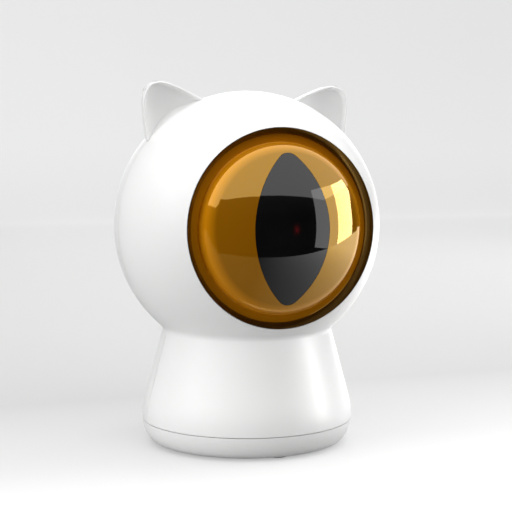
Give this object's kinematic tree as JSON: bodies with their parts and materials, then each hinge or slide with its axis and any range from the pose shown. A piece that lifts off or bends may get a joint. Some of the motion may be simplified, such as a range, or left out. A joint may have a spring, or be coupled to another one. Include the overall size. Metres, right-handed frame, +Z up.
{
  "type": "automatic cat laser toy",
  "caption": "Cat-eared round head with an amber eye dome and a slit pupil window on a flared pedestal, with a motorised pan and tilt laser inside.",
  "frame": {"origin": "on the floor plane, under the middle of the overall box; the pedestal's axis is 2.2 mm behind it", "axes": "+Z up, the eye looks along -Y, +X is the toy's left"},
  "size_m": [0.1, 0.0956, 0.1351],
  "materials": {
    "shell_white": "satin",
    "base_white": "matte",
    "foot_rubber": "matte",
    "steel_screw": "brushed",
    "bezel_black": "gloss",
    "amber_dome": "gloss",
    "pupil_smoke": "gloss",
    "gasket_foam": "matte",
    "frame_plastic": "matte",
    "board_green": "satin",
    "chip_black": "matte",
    "can_metal": "satin",
    "switch_black": "matte",
    "button_white": "satin",
    "lens_clear": "clear",
    "holder_black": "matte",
    "cell_wrap": "satin",
    "contact_metal": "satin",
    "shaft_steel": "polished",
    "gear_white": "satin",
    "barrel_brass": "satin",
    "hood_black": "matte"
  },
  "bodies": {
    "housing": {"front_shell": "shell_white", "rear_shell": "shell_white", "base_cover": "base_white", "foot_pads": "foot_rubber", "base_screws": "steel_screw", "shell_screws": "steel_screw", "bezel_ring": "bezel_black", "eye_dome": "amber_dome", "pupil_window": "pupil_smoke", "dome_gasket": "gasket_foam", "dome_retainer": "frame_plastic", "retainer_screws": "steel_screw", "main_board": "board_green", "board_screws": "steel_screw", "board_parts": "chip_black", "vibration_sensor": "can_metal", "power_switch": "switch_black", "status_lens": "lens_clear", "usb_socket": "can_metal", "usb_tongue": "chip_black", "battery_holder": "holder_black", "battery_cell": "cell_wrap", "battery_contacts": "contact_metal", "mechanism_frame": "frame_plastic", "frame_screws": "steel_screw", "pan_motor": "can_metal", "pan_motor_screws": "steel_screw", "pan_pivot_screw": "steel_screw"},
    "power_button": {"power_button": "button_white"},
    "pan_yoke": {"pan_yoke": "gear_white", "tilt_motor": "can_metal", "tilt_motor_screws": "steel_screw"},
    "pan_drive": {"pan_pinion": "gear_white", "pan_shaft": "shaft_steel"},
    "laser_cradle": {"laser_cradle": "gear_white", "tilt_pins": "shaft_steel", "laser_barrel": "barrel_brass", "laser_lens": "lens_clear", "laser_hood": "hood_black", "laser_board": "board_green"},
    "tilt_drive": {"tilt_pinion": "gear_white", "tilt_shaft": "shaft_steel"}
  },
  "joints": [
    {"name": "button_press", "type": "slide", "parent": "housing", "child": "power_button", "axis": [0, -1, 0], "range_m": [0, 0.0008], "stiffness_N_per_m": 900},
    {"name": "pan_turn", "type": "hinge", "parent": "housing", "child": "pan_yoke", "pos_m": [0, -0.0157, 0.06], "axis": [0, 0, 1], "range_deg": [-20, 20]},
    {"name": "pan_pinion_spin", "type": "hinge", "parent": "housing", "child": "pan_drive", "pos_m": [0, 0.0043, 0.06], "axis": [0, 0, 1], "range_deg": [-80, 80]},
    {"name": "tilt_turn", "type": "hinge", "parent": "pan_yoke", "child": "laser_cradle", "pos_m": [0, -0.0157, 0.0821], "axis": [1, 0, 0], "range_deg": [-20, 35]},
    {"name": "tilt_pinion_spin", "type": "hinge", "parent": "pan_yoke", "child": "tilt_drive", "pos_m": [0.008, -0.0019, 0.0821], "axis": [1, 0, 0], "range_deg": [-126, 72]}
  ],
  "couplings": [
    {"joint": "pan_pinion_spin", "follows": "pan_turn", "ratio": -4},
    {"joint": "tilt_pinion_spin", "follows": "tilt_turn", "ratio": -3.6}
  ]
}
